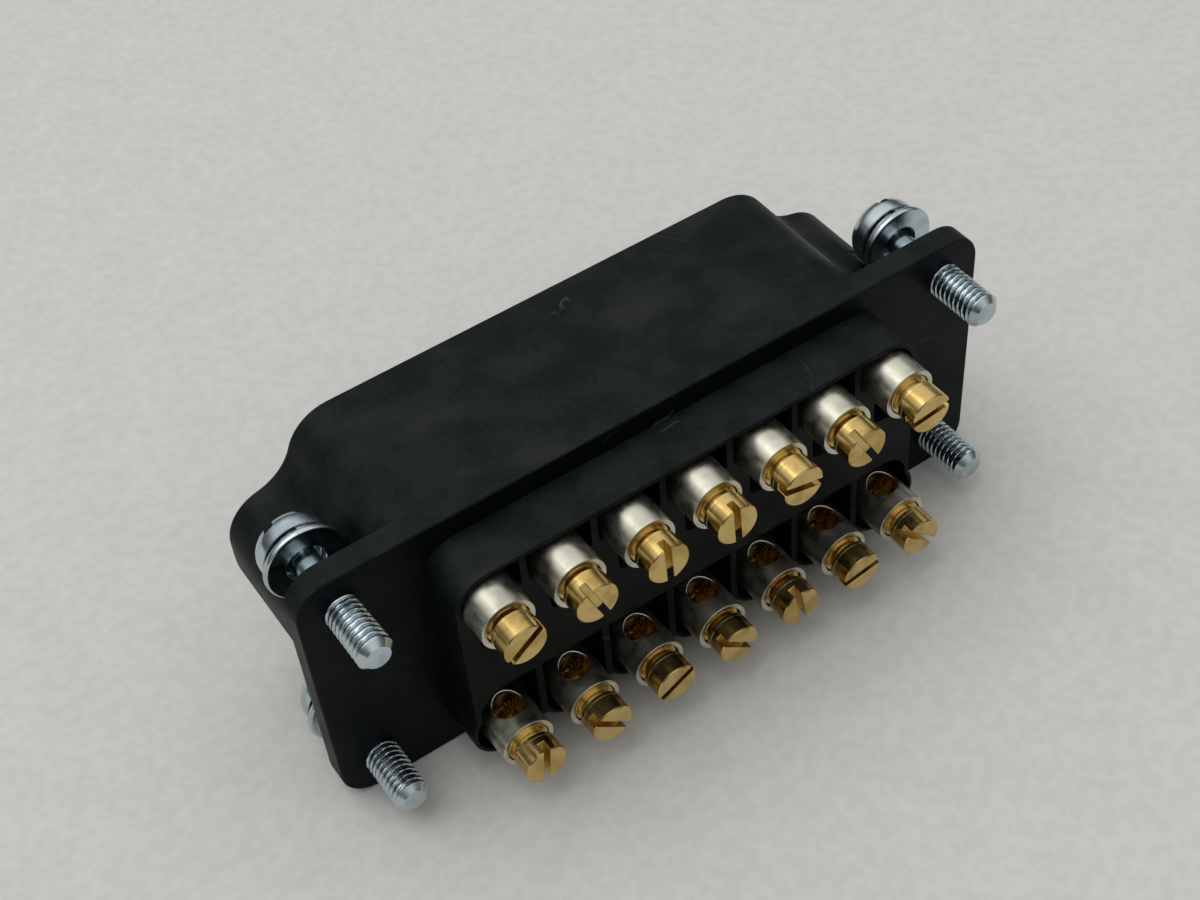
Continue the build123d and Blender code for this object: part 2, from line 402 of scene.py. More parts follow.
@dataclass(frozen=True)
class MetalFinish:
    """Turned metal: fine rings left by the tool, uneven tarnish, a satin gloss and painted shade in the
    thread grooves.
    """

    name: str
    bright: Colour
    dull: Colour
    # Painted shade for the thread grooves and the tool marks.
    root: Colour
    roughness: Span
    ring_waves: float = 9.0
    ring_depth: float = 0.0000045
    tarnish_waves: float = 420.0
    tarnish_limits: Span = (0.42, 0.66)
    gloss_waves: float = 714.0
    gloss_limits: Span = (0.3, 0.7)
    groove_limits: Span = (0.25, 0.95)

    def build(self) -> bpy.types.Material:
        """Lays out the material.

        Returns:
            The finished material.
        """
        sheet = NodeSheet(self.name)
        place = sheet.place(Pattern.OBJECT)
        tarnish = sheet.span(sheet.noise(place, self.tarnish_waves, detail=5.0), self.tarnish_limits)
        colour = sheet.blend(tarnish, self.bright, self.dull)
        # Painted shade: the groove mask darkens the colour towards the root colour.
        groove = sheet.add("Attribute", attribute_name=GROOVE).outputs["Fac"]
        colour = sheet.blend(sheet.span(groove, self.groove_limits), colour, self.root)
        sheet.join(colour, sheet.shader.inputs["Base Color"])
        gloss = sheet.noise(place, self.gloss_waves, detail=4.0)
        sheet.join(sheet.span(gloss, self.gloss_limits, self.roughness), sheet.shader.inputs["Roughness"])
        sheet.shader.inputs["Metallic"].default_value = 1.0
        rings = sheet.noise(self._along_and_out(sheet), self.ring_waves, detail=3.0)
        sheet.join(sheet.relief(rings, self.ring_depth), sheet.shader.inputs["Normal"])
        return sheet.material

    def _along_and_out(self, sheet: NodeSheet) -> Socket:
        """Gives a place that changes only along the axis and away from it, so that marks become rings.

        Args:
            sheet: The material's nodes.

        Returns:
            The place.
        """
        parts = sheet.add("SeparateXYZ")
        sheet.join(sheet.place(Pattern.OWN), parts.inputs["Vector"])
        squares = [sheet.maths("MULTIPLY", parts.outputs[name], parts.outputs[name]) for name in "XY"]
        radius = sheet.maths("POWER", sheet.maths("ADD", *squares), 0.5)
        rings = sheet.add("CombineXYZ")
        sheet.join(radius, rings.inputs["X"])
        sheet.join(parts.outputs["Z"], rings.inputs["Z"])
        return rings.outputs["Vector"]


@dataclass(frozen=True)
class FloorFinish:
    """A pale matt sheet with faint cloudiness and a fine grain like paper."""

    light: Colour = (0.592, 0.587, 0.562)
    shade: Colour = (0.563, 0.558, 0.533)
    grain_light: Colour = (0.606, 0.601, 0.576)
    grain_shade: Colour = (0.540, 0.535, 0.511)
    cloud_waves: float = 140.0
    cloud_limits: Span = (0.35, 0.65)
    grain_waves: float = 620.0
    grain_limits: Span = (0.34, 0.66)
    relief_waves: float = 900.0
    relief_depth: float = 0.00005
    roughness: float = 0.9
    specular: float = 0.2

    def build(self) -> bpy.types.Material:
        """Lays out the material.

        Returns:
            The finished material.
        """
        sheet = NodeSheet("pale_sheet")
        place = sheet.place(Pattern.OBJECT)
        clouds = sheet.span(sheet.noise(place, self.cloud_waves, detail=3.0), self.cloud_limits)
        grain = sheet.span(sheet.noise(place, self.grain_waves, detail=6.0), self.grain_limits)
        cloudy = sheet.blend(clouds, self.light, self.shade)
        grained = sheet.blend(sheet.span(grain, (0.0, 1.0)), self.grain_light, self.grain_shade)
        sheet.join(sheet.blend(0.5, cloudy, grained), sheet.shader.inputs["Base Color"])
        relief = sheet.relief(sheet.noise(place, self.relief_waves, detail=4.0), self.relief_depth)
        sheet.join(relief, sheet.shader.inputs["Normal"])
        sheet.shader.inputs["Roughness"].default_value = self.roughness
        sheet.shader.inputs["Specular IOR Level"].default_value = self.specular
        return sheet.material


@dataclass(frozen=True)
class Finishes:
    """The finished materials of all pieces."""

    moulding: bpy.types.Material
    plating: bpy.types.Material
    brass: bpy.types.Material
    bore: bpy.types.Material
    zinc: bpy.types.Material
    floor: bpy.types.Material

    @classmethod
    def build(cls) -> "Finishes":
        """Lays out every material once.

        Returns:
            The finished materials.
        """
        plating = MetalFinish(
            name="silver_plating",
            bright=(0.66, 0.64, 0.53),
            dull=(0.50, 0.50, 0.41),
            root=(0.3, 0.28, 0.22),
            roughness=(0.26, 0.37),
        )
        brass = MetalFinish(
            name="turned_brass",
            bright=(0.66, 0.48, 0.18),
            dull=(0.48, 0.33, 0.10),
            root=(0.3, 0.17, 0.04),
            roughness=(0.17, 0.27),
        )
        bore = MetalFinish(
            name="bored_brass",
            bright=(0.90, 0.68, 0.30),
            dull=(0.62, 0.42, 0.15),
            root=(0.06, 0.03, 0.008),
            roughness=(0.20, 0.34),
        )
        zinc = MetalFinish(
            name="zinc_plating",
            bright=(0.54, 0.62, 0.65),
            dull=(0.40, 0.48, 0.52),
            root=(0.18, 0.23, 0.25),
            roughness=(0.16, 0.28),
        )
        return cls(
            MouldingFinish().build(),
            plating.build(),
            brass.build(),
            bore.build(),
            zinc.build(),
            FloorFinish().build(),
        )


def clear_selection() -> None:
    """Leaves nothing selected."""
    bpy.ops.object.select_all(action="DESELECT")


def select_only(piece: bpy.types.Object) -> None:
    """Selects one object and makes it active.

    Args:
        piece: The object.
    """
    clear_selection()
    piece.select_set(True)
    bpy.context.view_layer.objects.active = piece


@contextmanager
def editing(piece: bpy.types.Object) -> Iterator[None]:
    """Opens a piece in edit mode with nothing selected in it, and closes it at the end.

    Args:
        piece: The mesh object to shape.
    """
    select_only(piece)
    bpy.ops.object.mode_set(mode="EDIT")
    bpy.ops.mesh.select_all(action="DESELECT")
    yield
    bpy.ops.object.mode_set(mode="OBJECT")


def apply_modifiers(piece: bpy.types.Object) -> None:
    """Applies all modifiers of a piece, from the first to the last.

    Args:
        piece: The piece.
    """
    select_only(piece)
    for modifier in list(piece.modifiers):
        bpy.ops.object.modifier_apply(modifier=modifier.name)


def smooth(piece: bpy.types.Object, angle: float = SMOOTH_UNDER) -> None:
    """Shades a piece smooth, apart from edges sharper than the angle."""
    select_only(piece)
    bpy.ops.object.shade_smooth_by_angle(angle=angle)


def break_edges(piece: bpy.types.Object, width: float, angle: float, segments: int = 1) -> None:
    """Takes the sharpness off the edges of a piece.

    Args:
        piece: The piece.
        width: Width of the new edge faces, in the piece's own unit.
        angle: Edges sharper than this are broken.
        segments: 1 for a chamfer, more for a round.
    """
    bevel = piece.modifiers.new("broken_edges", "BEVEL")
    bevel.width = width
    bevel.segments = segments
    bevel.limit_method = "ANGLE"
    bevel.angle_limit = angle
    apply_modifiers(piece)


def coat(piece: bpy.types.Object, material: bpy.types.Material) -> None:
    """Gives a piece its only material and shades it smooth."""
    piece.data.materials.append(material)
    smooth(piece)


def keep_faces_flat(piece: bpy.types.Object) -> None:
    """Lets the large faces rule the shading, so that only the narrow rounds between them look curved.

    Args:
        piece: The piece.
    """
    weighting = piece.modifiers.new("flat_faces", "WEIGHTED_NORMAL")
    weighting.keep_sharp = True
    apply_modifiers(piece)


def cut(piece: bpy.types.Object, cutter: bpy.types.Object) -> None:
    """Cuts one solid out of another and removes the cutter.

    Args:
        piece: The piece that is cut.
        cutter: The solid that is cut out of it.
    """
    boolean = piece.modifiers.new("cut", "BOOLEAN")
    boolean.operation = "DIFFERENCE"
    boolean.object = cutter
    boolean.solver = "EXACT"
    apply_modifiers(piece)
    bpy.data.objects.remove(cutter)


def turn(name: str, rings: Sequence[Ring], segments: int, hollow: bool = False) -> bpy.types.Object:
    """Turns a piece about Z, ring by ring, from a disc, or from a bare circle where a hole goes through it.

    Args:
        name: The piece's name.
        rings: Radius and height of each ring, from the first end along the surface to the other.
        segments: Sides of each ring.
        hollow: Whether the last ring meets the first, as in a washer.

    Returns:
        The closed mesh object, in millimetres.
    """
    clear_selection()
    bpy.ops.mesh.primitive_circle_add(
        vertices=segments, radius=rings[0][0], fill_type="NOTHING" if hollow else "NGON", location=(0, 0, 0)
    )
    piece = bpy.context.object
    piece.name = name
    bpy.ops.object.mode_set(mode="EDIT")
    path = list(rings[1:]) + ([rings[0]] if hollow else [])
    radius, height = rings[0]
    for next_radius, next_height in path:
        step = (0, 0, next_height - height)
        bpy.ops.mesh.extrude_region_move(TRANSFORM_OT_translate={"value": step})
        share = next_radius / radius
        bpy.ops.transform.resize(value=(share, share, 1), center_override=(0, 0, next_height - rings[0][1]))
        radius, height = next_radius, next_height
    bpy.ops.mesh.select_all(action="SELECT")
    bpy.ops.mesh.remove_doubles(threshold=WELD_DISTANCE)
    bpy.ops.mesh.normals_make_consistent(inside=False)
    bpy.ops.object.mode_set(mode="OBJECT")
    piece.data.transform(Matrix.Translation((0, 0, rings[0][1])))
    return piece


def quarter_round(radius: float, steps: int, side: float, face: float) -> list[Ring]:
    """Gives the rings of a quarter round between a flat end and the side below it.

    Args:
        radius: Radius of the round.
        steps: Number of steps.
        side: Radius of the piece there.
        face: Height of its end.

    Returns:
        Radius and height of each ring, from the end to the side.
    """
    angles = [math.pi / 2 * step / steps for step in range(steps + 1)]
    return [(side - radius * (1 - math.sin(at)), face - radius * (1 - math.cos(at))) for at in angles]


def block(size: Sequence[float], middle: Sequence[float], slant: float = 0.0) -> bpy.types.Object:
    """Makes a block to cut with.

    Args:
        size: Its lengths along X, Y and Z.
        middle: Where its middle comes.
        slant: Turn about its own Y, in radians.

    Returns:
        The block.
    """
    clear_selection()
    bpy.ops.mesh.primitive_cube_add(size=1, location=(0, 0, 0))
    cutter = bpy.context.object
    with editing(cutter):
        bpy.ops.mesh.select_all(action="SELECT")
        bpy.ops.transform.resize(value=size)
        if slant:
            bpy.ops.transform.rotate(value=slant, orient_axis="Y", center_override=(0, 0, 0))
        bpy.ops.transform.translate(value=middle)
    return cutter


def cut_slot(piece: bpy.types.Object, radius: float, width: float, depth: float, face: float) -> None:
    """Cuts a slot along X right across an end of a piece.

    Args:
        piece: The piece.
        radius: Radius of its end.
        width: Width of the slot.
        depth: Depth of the slot. The block that cuts it reaches as far out of the face as into it.
        face: Height of the face that the slot is in.
    """
    cut(piece, block((3 * radius, width, 2 * depth), (0, 0, face)))


def off_axis(place: Vector) -> float:
    """Gives how far a place is from the Z axis."""
    return math.hypot(place.x, place.y)


@dataclass(frozen=True)
class Thread:
    """A helical groove in a stretch of a turned piece: flat crests, straight flanks and flat roots."""

    radius: float
    depth: float
    pitch: float
    start: float
    end: float
    crest: float = 0.25
    flank: float = 0.6
    rings_per_turn: int = 10
    run_out: float = 0.6
    reach_of_rounding: float = 0.02

    def rings(self) -> list[Ring]:
        """Gives the rings of the stretch, close enough together for the groove.

        Returns:
            Radius and height of each ring, from the start to the end.
        """
        count = max(2, round(abs(self.end - self.start) / self.pitch * self.rings_per_turn))
        step = (self.end - self.start) / count
        return [(self.radius, self.start + step * i) for i in range(count + 1)]

    def groove_at(self, place: Vector) -> float:
        """Gives how deep in the groove a place is, from 0 on the crest to 1 at the root.

        Args:
            place: A place on the threaded surface.

        Returns:
            The share of the full depth.
        """
        low, high = sorted((self.start, self.end))
        if not low <= place.z <= high:
            return 0.0
        phase = (place.z / self.pitch - math.atan2(place.y, place.x) / math.tau) % 1.0
        groove = min(1.0, max(0.0, (1.0 - abs(2.0 * phase - 1.0) - self.crest) / self.flank))
        run_out = self.run_out * self.pitch
        return groove * min(1.0, (place.z - low) / run_out, (high - place.z) / run_out)

    def carve(self, piece: bpy.types.Object) -> None:
        """Moves the vertices of the stretch inwards by the groove's depth there, outwards if it is negative.

        Args:
            piece: The turned piece, before its slot or holes are cut.
        """
        for vertex in piece.data.vertices:
            radius = off_axis(vertex.co)
            if abs(radius - self.radius) < self.reach_of_rounding:
                share = 1.0 - self.groove_at(vertex.co) * self.depth / radius
                vertex.co = (vertex.co.x * share, vertex.co.y * share, vertex.co.z)

    def mark(self, piece: bpy.types.Object) -> None:
        """Stores how deep in the groove each vertex is, for the painted shade there.

        Args:
            piece: The finished piece.
        """
        near, far = sorted((self.radius, self.radius - self.depth))
        marks = []
        for vertex in piece.data.vertices:
            radius = off_axis(vertex.co)
            on_thread = near - self.reach_of_rounding < radius < far + self.reach_of_rounding
            marks.append(self.groove_at(vertex.co) if on_thread else 0.0)
        piece.data.attributes.new(GROOVE, "FLOAT", "POINT").data.foreach_set("value", marks)


@dataclass(frozen=True)
class Axis:
    """The axis of a node: its place in millimetres and the lowest and highest Y of the solid."""

    x: float
    z: float
    low: float
    high: float

    @classmethod
    def of(cls, node: str) -> "Axis":
        """Reads the axis from the box of a node.

        Args:
            node: The node's name.

        Returns:
            Its axis.
        """
        low, high = (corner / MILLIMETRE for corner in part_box(node))
        return cls((low.x + high.x) / 2, (low.z + high.z) / 2, low.y, high.y)


def remember_place(mesh: bpy.types.Mesh) -> None:
    """Keeps each vertex's place about its own axis, for the marks of turning.

    Args:
        mesh: The mesh, in millimetres about Z.
    """
    places = np.zeros(len(mesh.vertices) * 3, np.float32)
    mesh.vertices.foreach_get("co", places)
    mesh.attributes.new(OWN_PLACE, "FLOAT_VECTOR", "POINT").data.foreach_set("vector", places)


def put_on_axis(model: bpy.types.Object, name: str, axis: Axis, turned: float = 0.0) -> bpy.types.Object:
    """Puts a copy of a model on a node's axis, in the part's frame.

    Args:
        model: The model, in millimetres about Z.
        name: The copy's name.
        axis: The axis to put it on.
        turned: Turn about the axis, in degrees from +X towards +Z.

    Returns:
        The copy, with a mesh of its own and its object at the origin.
    """
    mesh = model.data.copy()
    mesh.name = name
    remember_place(mesh)
    spin = Matrix.Rotation(math.radians(-turned), 4, "Z")
    move = Matrix.Translation((axis.x, 0, axis.z))
    mesh.transform(Matrix.Scale(MILLIMETRE, 4) @ move @ LAY_DOWN @ spin)
    piece = bpy.data.objects.new(name, mesh)
    bpy.context.scene.collection.objects.link(piece)
    return piece


def hand_over(piece: bpy.types.Object, body: str, slot: Slot, *nodes: str) -> None:
    """Lets a piece ride on its body and stand for its nodes.

    Args:
        piece: The finished piece.
        body: The body that carries it.
        slot: Not used.
        *nodes: The nodes that it stands for.
    """
    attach(piece, body)
    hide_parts(*nodes)
    log.info("%s rides on %s with %d faces", piece.name, body, len(piece.data.polygons))


@dataclass
class Moulding:
    """The black moulding: flange, ribbed terminal block and lobed shroud."""

    node: str = "insulator"
    body: str = "insert"
    merge_distance: float = 0.000002
    flat_angle: float = math.radians(0.4)
    edge_width: float = 0.00012
    edge_angle: float = math.radians(40)

    def build(self, finishes: Finishes) -> None:
        """Copies the node's form, merges its loose triangles and softens its sharp edges.

        Args:
            finishes: The materials.
        """
        source = bpy.data.objects[self.node]
        mesh = source.data.copy()
        piece = bpy.data.objects.new("moulding", mesh)
        bpy.context.scene.collection.objects.link(piece)
        if CUSTOM_NORMAL in mesh.attributes:
            mesh.attributes.remove(mesh.attributes[CUSTOM_NORMAL])
        with editing(piece):
            bpy.ops.mesh.select_all(action="SELECT")
            bpy.ops.mesh.remove_doubles(threshold=self.merge_distance)
            bpy.ops.mesh.dissolve_limited(angle_limit=self.flat_angle)
        break_edges(piece, self.edge_width, self.edge_angle, segments=2)
        smooth(piece, self.edge_angle)
        keep_faces_flat(piece)
        mesh.materials.clear()
        mesh.materials.append(finishes.moulding)
        hand_over(piece, self.body, Slot.MOULDING, self.node)


@dataclass
class Contacts:
    """Fourteen silver-plated contacts with a threaded brass bore, a wire hole and a pin."""

    count: int = 14
    body: str = "insert"
    radius: float = 3.05
    bore: float = 2.5
    bore_depth: float = 5.4
    bore_thread_depth: float = 0.26
    bore_pitch: float = 0.6
    rim_edge: float = 0.05
    mouth_edge: float = 0.04
    hole_edge: float = 0.05
    mark_spacing: float = 0.2
    mark_depth: float = 0.12
    thread_below_rim: float = 0.5
    thread_above_bottom: float = 0.2
    pin_radius: float = 1.5
    pin_tip: float = 0.9
    tip_flat: float = 0.04
    tip_steps: int = 5
    shoulder: float = 1.9
    wire_hole: float = 1.75
    wire_hole_from_rim: float = 3.5
    segments: int = 44

    def model(self, axis: Axis, finishes: Finishes, side: int) -> bpy.types.Object:
        """Models one contact with its wire hole on one side.

        Args:
            axis: Any contact's axis, for its length.
            finishes: The materials.
            side: 1 for a hole that faces +Z, -1 for one that faces -Z.

        Returns:
            The model.
        """
        rim, tip = axis.low, axis.high
        bottom = rim + self.bore_depth
        start, end = rim + self.thread_below_rim, bottom - self.thread_above_bottom
        thread = Thread(self.bore, -self.bore_thread_depth, self.bore_pitch, start, end)
        rings = [
            (self.pin_radius - self.pin_tip - self.tip_flat, tip),
            *quarter_round(self.pin_tip, self.tip_steps, self.pin_radius, tip),
            (self.pin_radius, self.shoulder),
            (self.radius, self.shoulder),
            (self.radius, rim + self.rim_edge),
            (self.radius - self.rim_edge, rim),
            (self.bore + self.mouth_edge, rim),
            (self.bore, rim + self.mouth_edge),
            *thread.rings(),
            (self.bore, bottom),
            *self._tool_marks(bottom),
        ]
        contact = turn("contact_model", rings, self.segments)
        thread.carve(contact)
        for material in (finishes.plating, finishes.bore, finishes.plating):
            contact.data.materials.append(material)
        for face in contact.data.polygons:
            deep = rim + self.mouth_edge < face.center.z < bottom + 2 * self.mark_depth
            inside = off_axis(face.center) < self.radius - self.mouth_edge
            face.material_index = ContactSlot.BORE if deep and inside else ContactSlot.OUTSIDE
        self._drill(contact, rim + self.wire_hole_from_rim, side)
        thread.mark(contact)
        self._paint_shade_in_tool_marks(contact, bottom)
        smooth(contact)
        return contact

    def _tool_marks(self, bottom: float) -> list[Ring]:
        """Gives the rings that the boring tool left in the end of the bore, from the wall to the middle.

        Args:
            bottom: Height of the bore's end.

        Returns:
            Radius and height of each ring.
        """
        count = int(self.bore / self.mark_spacing) - 1
        return [
            (self.bore - self.mark_spacing * (number + 1), bottom + (self.mark_depth if number % 2 else 0.0))
            for number in range(count)
        ]

    def _paint_shade_in_tool_marks(self, contact: bpy.types.Object, bottom: float) -> None:
        """Paints shade into the marks at the end of the bore.

        Args:
            contact: The contact's model.
            bottom: Height of the bore's end.
        """
        painted_shade = contact.data.attributes[GROOVE].data
        # Painted shade: the deep marks get the full root colour.
        for vertex in contact.data.vertices:
            deep = bottom + self.mark_depth / 2 < vertex.co.z < bottom + 2 * self.mark_depth
            if deep and off_axis(vertex.co) < self.bore:
                painted_shade[vertex.index].value = 1.0

    def _drill(self, contact: bpy.types.Object, height: float, side: int) -> None:
        """Drills the wire hole through one wall and breaks its outer edge.

        Args:
            contact: The contact's model, whose -Y becomes +Z when it is laid down.
            height: Height of the hole's middle.
            side: 1 for a hole towards -Y, -1 for one towards +Y.
        """
        clear_selection()
        bpy.ops.mesh.primitive_cylinder_add(
            vertices=self.segments, radius=self.wire_hole, depth=2 * self.radius, location=(0, 0, 0)
        )
        drill = bpy.context.object
        with editing(drill):
            bpy.ops.mesh.select_all(action="SELECT")
            bpy.ops.transform.rotate(value=math.pi / 2, orient_axis="X", center_override=(0, 0, 0))
            bpy.ops.transform.translate(value=(0, -side * self.radius, height))
        for material in contact.data.materials:
            drill.data.materials.append(material)
        for face in drill.data.polygons:
            face.material_index = ContactSlot.HOLE_WALL
        cut(contact, drill)
        with editing(contact):
            bpy.ops.mesh.select_mode(type="EDGE")
            shape = bmesh.from_edit_mesh(contact.data)
            outer_edge = {ContactSlot.OUTSIDE, ContactSlot.HOLE_WALL}
            for edge in shape.edges:
                edge.select_set({face.material_index for face in edge.link_faces} == outer_edge)
            bmesh.update_edit_mesh(contact.data)
            bpy.ops.mesh.bevel(offset=self.hole_edge, segments=1, affect="EDGES")

    def build(self, finishes: Finishes) -> None:
        """Puts a contact on each axis, with its wire hole towards the middle of the insert.

        Args:
            finishes: The materials.
        """
        first = Axis.of("contact_01")
        models = {side: self.model(first, finishes, side) for side in (1, -1)}
        for number in range(1, self.count + 1):
            node = f"contact_{number:02d}"
            axis = Axis.of(node)
            piece = put_on_axis(models[-1 if axis.z > 0 else 1], f"plated_{node}", axis)
            hand_over(piece, self.body, Slot.PLATING, node)
        for model in models.values():
            bpy.data.objects.remove(model)


@dataclass
class TerminalScrews:
    """Fourteen slotted brass clamping screws, each left at its own angle."""

    slot_angles: tuple[float, ...] = (37, 112, 92, 92, 166, 118, 7, 84, 139, 28, 141, 100, 9, 136)
    radius: float = 2.42
    neck: float = 1.9
    head_length: float = 2.6
    neck_length: float = 0.9
    slot_width: float = 0.8
    slot_depth: float = 1.3
    slot_edge: float = 0.05
    edge: float = 0.12
    line_from_face: float = 2.05
    line_depth: float = 0.06
    neck_edge: float = 0.1
    thread_depth: float = 0.26
    pitch: float = 0.6
    segments: int = 44

    def model(self, length: float, finishes: Finishes) -> bpy.types.Object:
        """Models one screw from its slotted face at height 0.

        Args:
            length: Length of the screw.
            finishes: The materials.

        Returns:
            The model.
        """
        neck_start = self.head_length
        neck_end = neck_start + self.neck_length
        thread = Thread(self.radius, self.thread_depth, self.pitch, neck_end + self.neck_edge, length)
        rings = [
            (self.radius - self.edge, 0),
            (self.radius, self.edge),
            (self.radius, self.line_from_face - self.line_depth),
            (self.radius - self.line_depth, self.line_from_face),
            (self.radius, self.line_from_face + self.line_depth),
            (self.radius, neck_start - self.neck_edge),
            (self.radius - self.neck_edge, neck_start),
            (self.neck + self.neck_edge, neck_start),
            (self.neck, neck_start + self.neck_edge),
            (self.neck, neck_end),
            (self.radius - self.neck_edge, neck_end),
            *thread.rings(),
        ]
        screw = turn("terminal_screw_model", rings, self.segments)
        thread.carve(screw)
        cut_slot(screw, self.radius, self.slot_width, self.slot_depth, 0.0)
        break_edges(screw, self.slot_edge, SLOT_EDGES_OVER)
        thread.mark(screw)
        coat(screw, finishes.brass)
        return screw

    def build(self, finishes: Finishes) -> None:
        """Puts a screw in each contact.

        Args:
            finishes: The materials.
        """
        first = Axis.of("terminal_screw_01")
        model = self.model(first.high - first.low, finishes)
        for number, angle in enumerate(self.slot_angles, start=1):
            node = f"terminal_screw_{number:02d}"
            axis = Axis.of(node)
            piece = put_on_axis(model, f"brass_{node}", axis, angle)
            piece.data.transform(Matrix.Translation((0, axis.low * MILLIMETRE, 0)))
            hand_over(piece, node, Slot.BRASS, node)
        bpy.data.objects.remove(model)


@dataclass
class MountingScrews:
    """Four zinc-plated captive screws with a split washer and a plain washer each."""

    slot_angles: tuple[float, ...] = (118, 30, 84, 150)
    thread_radius: float = 2.0
    thread_depth: float = 0.4
    thread_crest: float = 0.35
    pitch: float = 0.7
    thread_end: float = -0.05
    tip_edge: float = 0.65
    tip_radius: float = 1.35
    shank: float = 1.5
    head_seat: float = 8.95
    head_radius: float = 4.0
    head_round: float = 2.0
    head_steps: int = 6
    slot_width: float = 1.2
    slot_depth: float = 1.5
    split_outer: float = 3.8
    split_bore: float = 2.05
    split_gap: float = 0.7
    split_rise: float = 0.22
    split_slant: float = math.radians(14)
    split_from_axis: float = 0.6
    flat_outer: float = 4.5
    flat_bore: float = 2.15
    washer_edge: float = 0.1
    washer_round: float = 0.28
    washer_steps: int = 4
    slot_edge: float = 0.07
    seat_edge: float = 0.12
    segments: int = 48

    def model_screw(self, axis: Axis, finishes: Finishes) -> bpy.types.Object:
        """Models one screw.

        Args:
            axis: Any screw's axis, for its ends.
            finishes: The materials.

        Returns:
            The model.
        """
        tip, top = axis.low, axis.high
        start = tip + self.tip_edge
        thread = Thread(
            self.thread_radius, self.thread_depth, self.pitch, start, self.thread_end, self.thread_crest
        )
        rings = [
            (self.tip_radius, tip),
            (self.thread_radius, start),
            *thread.rings(),
            (self.shank, self.thread_end),
            (self.shank, self.head_seat),
            (self.head_radius - self.seat_edge, self.head_seat),
            (self.head_radius, self.head_seat + self.seat_edge),
            *reversed(quarter_round(self.head_round, self.head_steps, self.head_radius, top)),
            (self.head_radius - self.head_round - self.seat_edge, top),
        ]
        screw = turn("mounting_screw_model", rings, self.segments)
        thread.carve(screw)
        cut_slot(screw, self.head_radius, self.slot_width, self.slot_depth, top)
        break_edges(screw, self.slot_edge, SLOT_EDGES_OVER)
        thread.mark(screw)
        coat(screw, finishes.zinc)
        return screw

    def model_flat_washer(self, axis: Axis, finishes: Finishes) -> bpy.types.Object:
        """Models the plain washer, with its edges broken.

        Args:
            axis: Any plain washer's axis, for its ends.
            finishes: The materials.

        Returns:
            The model.
        """
        washer = self._turn_washer("flat_washer_model", axis, self.flat_bore, self.flat_outer)
        coat(washer, finishes.zinc)
        return washer

    def model_spring_washer(self, axis: Axis, finishes: Finishes) -> bpy.types.Object:
        """Models the split washer: a ring cut through at the top, its ends sprung a little apart.

        Args:
            axis: Any split washer's axis, for its ends.
            finishes: The materials.

        Returns:
            The model.
        """
        rise = self.split_rise
        inner = Axis(axis.x, axis.z, axis.low + rise / 2, axis.high - rise / 2)
        washer = self._turn_washer("spring_washer_model", inner, self.split_bore, self.split_outer)
        size = (self.split_gap, self.split_outer, 3 * (axis.high - axis.low))
        middle = (0, -self.split_outer / 2 - self.split_from_axis, (axis.low + axis.high) / 2)
        cut(washer, block(size, middle, self.split_slant))
        for vertex in washer.data.vertices:
            turned = math.atan2(vertex.co.x, vertex.co.y) / math.pi
            vertex.co.z += turned * rise / 2
        coat(washer, finishes.zinc)
        return washer

    def _turn_washer(self, name: str, axis: Axis, bore: float, outer: float) -> bpy.types.Object:
        """Turns a washer with its edges broken at the hole and well rounded outside.

        Args:
            name: The model's name.
            axis: The washer's axis, for its ends.
            bore: Radius of its hole.
            outer: Its outer radius.

        Returns:
            The closed ring.
        """
        edge, round_edge = self.washer_edge, self.washer_round
        far = quarter_round(round_edge, self.washer_steps, outer, axis.high)
        near = [(radius, axis.low + axis.high - height) for radius, height in reversed(far)]
        section = [
            (bore, axis.low + edge),
            (bore, axis.high - edge),
            (bore + edge, axis.high),
            (outer - round_edge - edge, axis.high),
            *far,
            *near,
            (outer - round_edge - edge, axis.low),
            (bore + edge, axis.low),
        ]
        return turn(name, section, self.segments, hollow=True)

    def build(self, finishes: Finishes) -> None:
        """Puts the screws and their washers in place.

        Args:
            finishes: The materials.
        """
        models = {
            "mounting_screw": self.model_screw(Axis.of("mounting_screw_1"), finishes),
            "spring_washer": self.model_spring_washer(Axis.of("spring_washer_1"), finishes),
            "flat_washer": self.model_flat_washer(Axis.of("flat_washer_1"), finishes),
        }
        for number, angle in enumerate(self.slot_angles, start=1):
            body = f"mounting_screw_{number}"
            axis = Axis.of(body)
            for kind, model in models.items():
                node = f"{kind}_{number}"
                turned = angle if kind == "mounting_screw" else 0.0
                hand_over(put_on_axis(model, f"zinc_{node}", axis, turned), body, Slot.ZINC, node)
        for model in models.values():
            bpy.data.objects.remove(model)


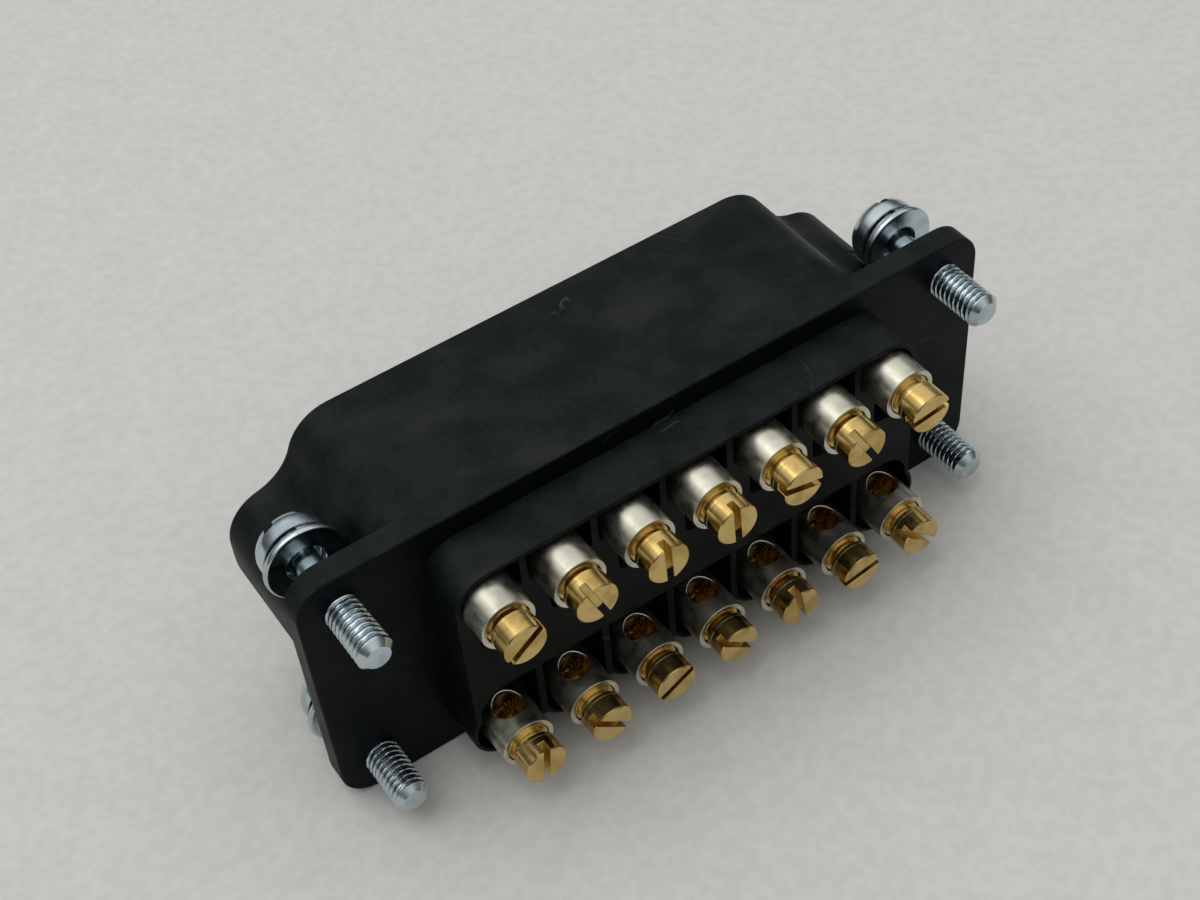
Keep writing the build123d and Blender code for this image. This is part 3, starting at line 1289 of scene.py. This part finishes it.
@dataclass
class Studio:
    """Pale floor, a pale ceiling with one soft lamp, and the camera at the photograph's angle."""

    camera_place: Vector = field(default_factory=lambda: Vector((-73.62, -115.46, 159.07)) * MILLIMETRE)
    camera_azimuth: float = -29.83
    camera_elevation: float = 47.30
    camera_lean: float = 5.88
    focal_pixels: float = 1962.8
    image_width: float = 1200.0
    sensor_width: float = 36.0
    floor_half: float = 3.0
    floor_squares: int = 8
    lens_clip: float = 0.005
    sky: tuple[tuple[float, float], ...] = ((0.0, 0.06), (0.38, 0.20), (0.60, 0.84), (1.0, 0.94))
    lamp_place: Vector = field(default_factory=lambda: Vector((-0.33, 0.16, 1.08)))
    lamp_size: float = 0.8
    lamp_watts: float = 4.1

    def build(self, floor_height: float, finishes: Finishes) -> None:
        """Makes everything that isn't part of the object.

        Args:
            floor_height: Height of the surface that the part rests on.
            finishes: The materials.
        """
        self._floor(floor_height, finishes.floor)
        self._world()
        self._lamp()
        self._camera()

    def _floor(self, height: float, material: bpy.types.Material) -> None:
        """Lays the floor.

        Args:
            height: Height of its surface.
            material: What it is made of.
        """
        clear_selection()
        squares = self.floor_squares
        bpy.ops.mesh.primitive_grid_add(
            x_subdivisions=squares, y_subdivisions=squares, size=2 * self.floor_half, location=(0, 0, height)
        )
        floor = bpy.context.object
        floor.name = "floor"
        floor.data.materials.append(material)
        floor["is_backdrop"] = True

    def _world(self) -> None:
        """Lights the room from a wide pale ceiling that darkens towards the horizon."""
        world = bpy.data.worlds.new("room")
        bpy.context.scene.world = world
        world.use_nodes = True
        nodes, links = world.node_tree.nodes, world.node_tree.links
        place = nodes.new("ShaderNodeTexCoord")
        parts = nodes.new("ShaderNodeSeparateXYZ")
        ramp = nodes.new("ShaderNodeValToRGB")
        links.new(place.outputs["Generated"], parts.inputs["Vector"])
        links.new(parts.outputs["Z"], ramp.inputs["Fac"])
        stops = ramp.color_ramp.elements
        for _ in range(len(self.sky) - len(stops)):
            stops.new(1.0)
        for stop, (height, level) in zip(stops, self.sky):
            stop.position = height
            stop.color = rgba((level, level, level))
        links.new(ramp.outputs["Color"], nodes["Background"].inputs["Color"])

    def _lamp(self) -> None:
        """Hangs one soft square lamp that shines on the part."""
        light = bpy.data.lights.new("ceiling_lamp", "AREA")
        light.size = self.lamp_size
        light.energy = self.lamp_watts
        lamp = bpy.data.objects.new("ceiling_lamp", light)
        lamp.location = self.lamp_place
        lamp.rotation_euler = (-self.lamp_place).to_track_quat("-Z", "Y").to_euler()
        bpy.context.scene.collection.objects.link(lamp)

    def _camera(self) -> None:
        """Puts the camera where the photograph was taken from."""
        azimuth, elevation = math.radians(self.camera_azimuth), math.radians(self.camera_elevation)
        along = math.cos(elevation)
        back = Vector((math.sin(azimuth) * along, -math.cos(azimuth) * along, math.sin(elevation)))
        lens = bpy.data.cameras.new("camera")
        lens.sensor_width = self.sensor_width
        lens.lens = self.sensor_width * self.focal_pixels / self.image_width
        lens.clip_start = self.lens_clip
        camera = bpy.data.objects.new("camera", lens)
        camera.location = self.camera_place
        level = (-back).to_track_quat("-Z", "Y").to_matrix().to_4x4()
        lean = Matrix.Rotation(math.radians(-self.camera_lean), 4, "Z")
        camera.rotation_euler = (level @ lean).to_euler()
        bpy.context.scene.collection.objects.link(camera)
        bpy.context.scene.camera = camera


def main() -> None:
    """Loads the frame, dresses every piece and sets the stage."""
    logging.basicConfig(level=logging.INFO, format="%(message)s")
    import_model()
    frame_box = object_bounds()
    bpy.context.scene.view_settings.view_transform = "Standard"
    finishes = Finishes.build()
    Moulding().build(finishes)
    Contacts().build(finishes)
    TerminalScrews().build(finishes)
    MountingScrews().build(finishes)
    Studio().build(frame_box[0].z, finishes)


if __name__ == "__main__":
    main()
